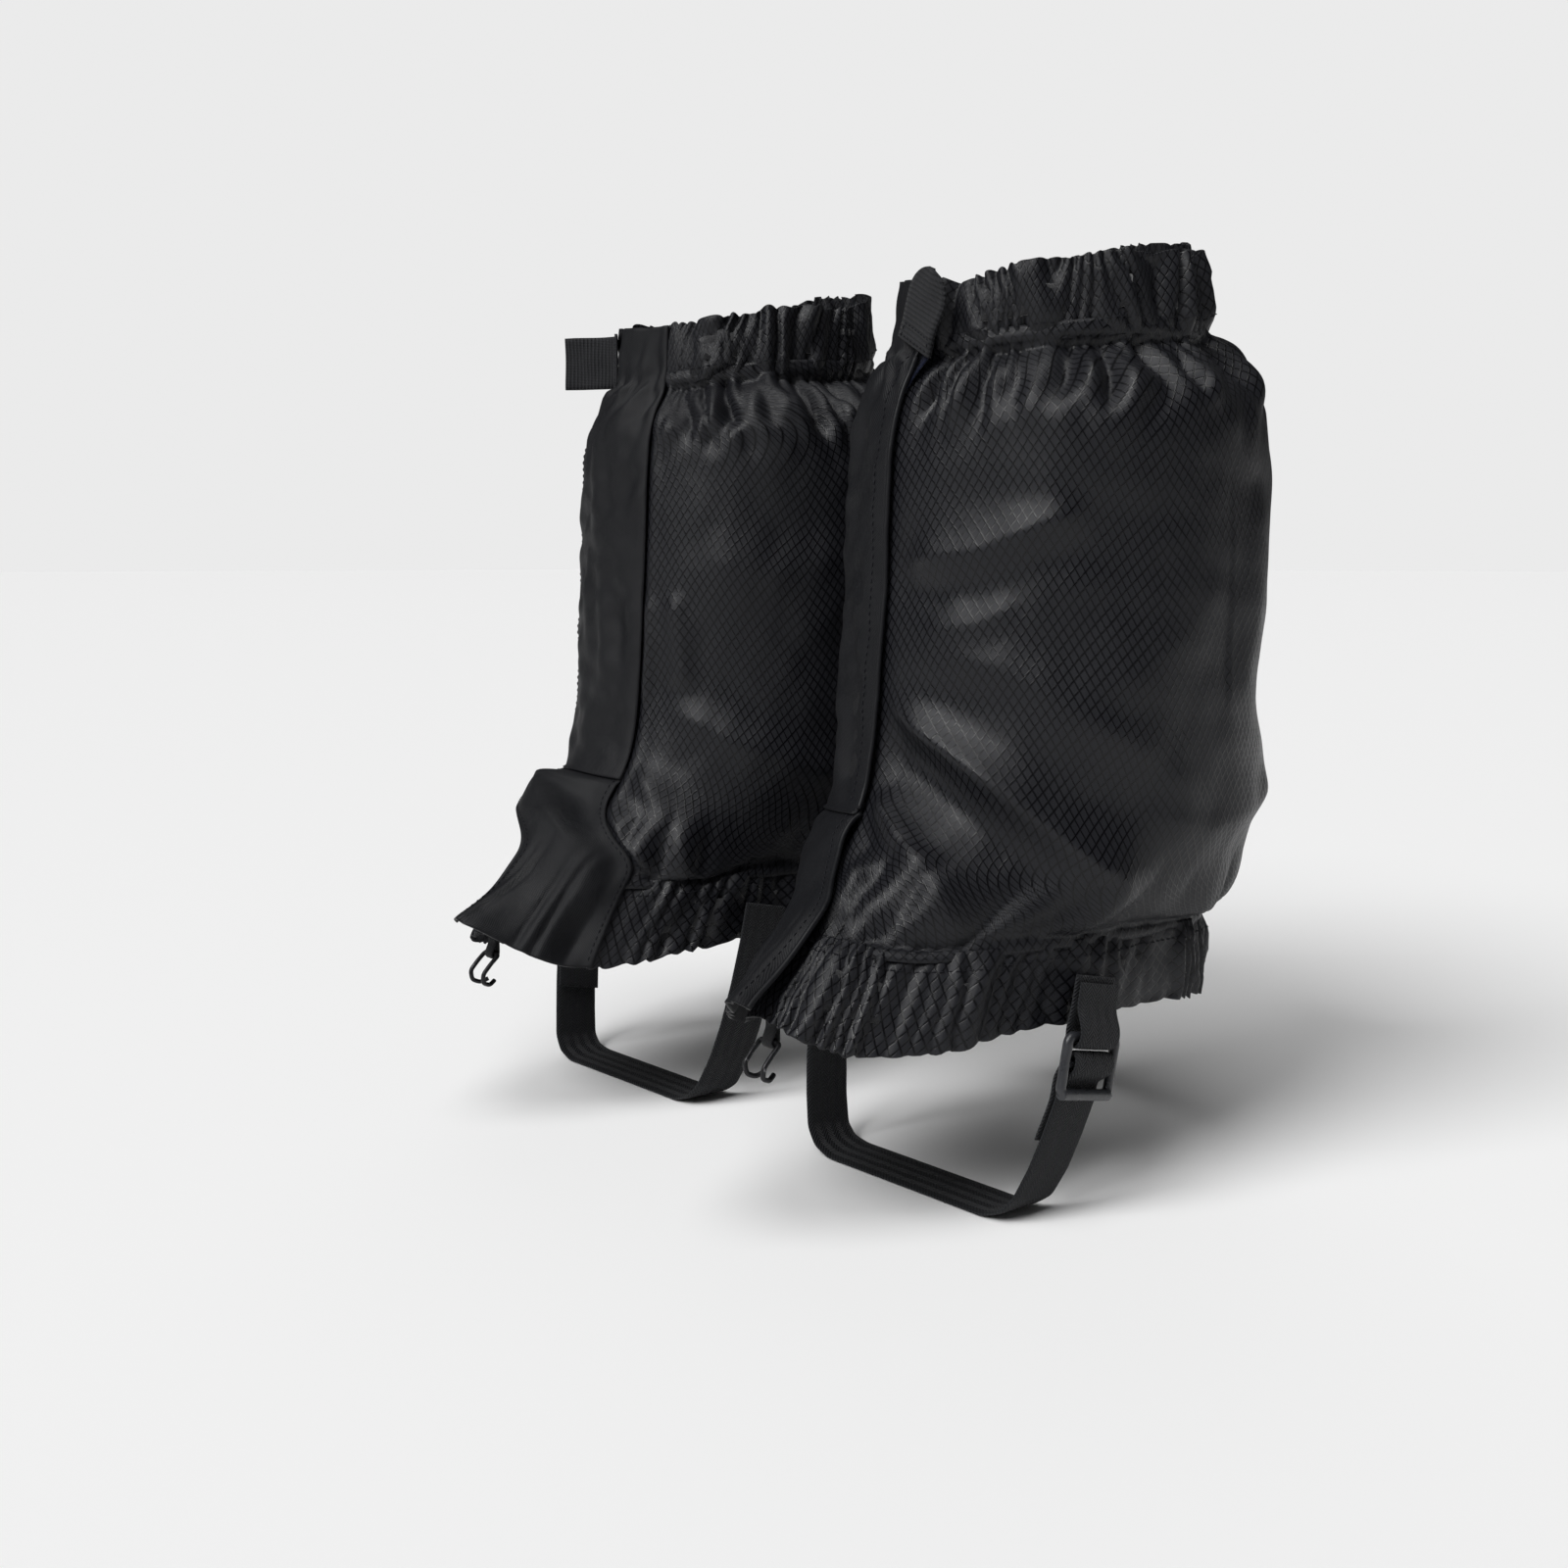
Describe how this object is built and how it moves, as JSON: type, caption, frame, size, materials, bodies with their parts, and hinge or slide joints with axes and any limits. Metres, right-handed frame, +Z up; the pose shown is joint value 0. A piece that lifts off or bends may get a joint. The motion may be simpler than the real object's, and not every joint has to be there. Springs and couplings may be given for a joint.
{
  "type": "gaiters",
  "caption": "Pair of short ripstop hiking gaiters with elastic hems, front closing flaps, top tabs, lace hooks and buckled straps under the boots, in their worn shape.",
  "frame": {"origin": "on the ground between the two gaiters, level with the underside of the straps under the boots and in line with the middle of each leg", "axes": "+Z up the legs, -Y towards the toes, +X towards the left gaiter's outer side"},
  "size_m": [0.2886, 0.2194, 0.3102],
  "materials": {
    "ripstop": "semi-gloss coated ripstop weave",
    "plain_cloth": "smooth plain weave, semi-matte",
    "loop_tape": "fine pile, matte",
    "hook_tape": "fine moulded hooks, matte",
    "tab_ribbon": "cross-ribbed ribbon, matte",
    "webbing": "narrow webbing, matte",
    "elastic": "braided elastic, matte",
    "buckle": "moulded acetal, satin",
    "wire": "black coated steel wire"
  },
  "bodies": {
    "left_gaiter": {"left_panel": "ripstop", "left_top_hem": "ripstop", "left_top_elastic": "elastic", "left_bottom_hem": "ripstop", "left_bottom_elastic": "elastic", "left_loop_tape": "loop_tape", "left_instep_flap": "plain_cloth", "left_hook_loop": "webbing"},
    "left_flap": {"left_front_flap": "plain_cloth", "left_flap_binding": "plain_cloth", "left_hook_tape": "hook_tape"},
    "left_tab": {"left_top_tab": "tab_ribbon", "left_tab_hook_pad": "hook_tape"},
    "left_stirrup": {"left_buckle_loop": "webbing", "left_instep_strap": "webbing", "left_strap_tail": "webbing"},
    "left_buckle_frame": {"left_buckle": "buckle", "left_strap_threading": "webbing"},
    "left_hook": {"left_lace_hook": "wire"},
    "right_gaiter": {"right_panel": "ripstop", "right_top_hem": "ripstop", "right_top_elastic": "elastic", "right_bottom_hem": "ripstop", "right_bottom_elastic": "elastic", "right_loop_tape": "loop_tape", "right_instep_flap": "plain_cloth", "right_hook_loop": "webbing"},
    "right_flap": {"right_front_flap": "plain_cloth", "right_flap_binding": "plain_cloth", "right_hook_tape": "hook_tape"},
    "right_tab": {"right_top_tab": "tab_ribbon", "right_tab_hook_pad": "hook_tape"},
    "right_stirrup": {"right_buckle_loop": "webbing", "right_instep_strap": "webbing", "right_strap_tail": "webbing"},
    "right_buckle_frame": {"right_buckle": "buckle", "right_strap_threading": "webbing"},
    "right_hook": {"right_lace_hook": "wire"}
  },
  "joints": [
    {"name": "pair_spacing", "type": "slide", "parent": "left_gaiter", "child": "right_gaiter", "axis": [-1, 0, 0], "range_m": [0, 0.2]},
    {"name": "left_flap_opening", "type": "hinge", "parent": "left_gaiter", "child": "left_flap", "pos_m": [0.0139, -0.0359, 0.19], "axis": [0, 0, -1], "range_deg": [0, 90]},
    {"name": "left_tab_lift", "type": "hinge", "parent": "left_flap", "child": "left_tab", "pos_m": [0.0557, -0.0577, 0.2694], "axis": [0.8183, -0.3317, -0.4694], "range_deg": [0, 100]},
    {"name": "left_stirrup_swing", "type": "hinge", "parent": "left_gaiter", "child": "left_stirrup", "pos_m": [0.075, -0.048, 0.067], "axis": [1, 0, 0], "range_deg": [-25, 25]},
    {"name": "left_buckle_tilt", "type": "hinge", "parent": "left_stirrup", "child": "left_buckle_frame", "pos_m": [0.1322, -0.05011, 0.05784], "axis": [0, -0.9744, 0.225], "range_deg": [0, 40]},
    {"name": "left_hook_swivel", "type": "hinge", "parent": "left_gaiter", "child": "left_hook", "pos_m": [0.075, -0.131, 0.0605], "axis": [1, 0, 0], "range_deg": [-60, 30]},
    {"name": "right_flap_opening", "type": "hinge", "parent": "right_gaiter", "child": "right_flap", "pos_m": [-0.0624, -0.0763, 0.19], "axis": [0, 0, 1], "range_deg": [0, 90]},
    {"name": "right_tab_lift", "type": "hinge", "parent": "right_flap", "child": "right_tab", "pos_m": [-0.1079, -0.0493, 0.2794], "axis": [0, 0, 1], "range_deg": [-68, 40]},
    {"name": "right_stirrup_swing", "type": "hinge", "parent": "right_gaiter", "child": "right_stirrup", "pos_m": [-0.075, -0.048, 0.067], "axis": [1, 0, 0], "range_deg": [-25, 25]},
    {"name": "right_buckle_tilt", "type": "hinge", "parent": "right_stirrup", "child": "right_buckle_frame", "pos_m": [-0.1322, -0.05011, 0.05784], "axis": [0, 0.9744, -0.225], "range_deg": [0, 40]},
    {"name": "right_hook_swivel", "type": "hinge", "parent": "right_gaiter", "child": "right_hook", "pos_m": [-0.075, -0.131, 0.0605], "axis": [1, 0, 0], "range_deg": [-60, 30]}
  ]
}
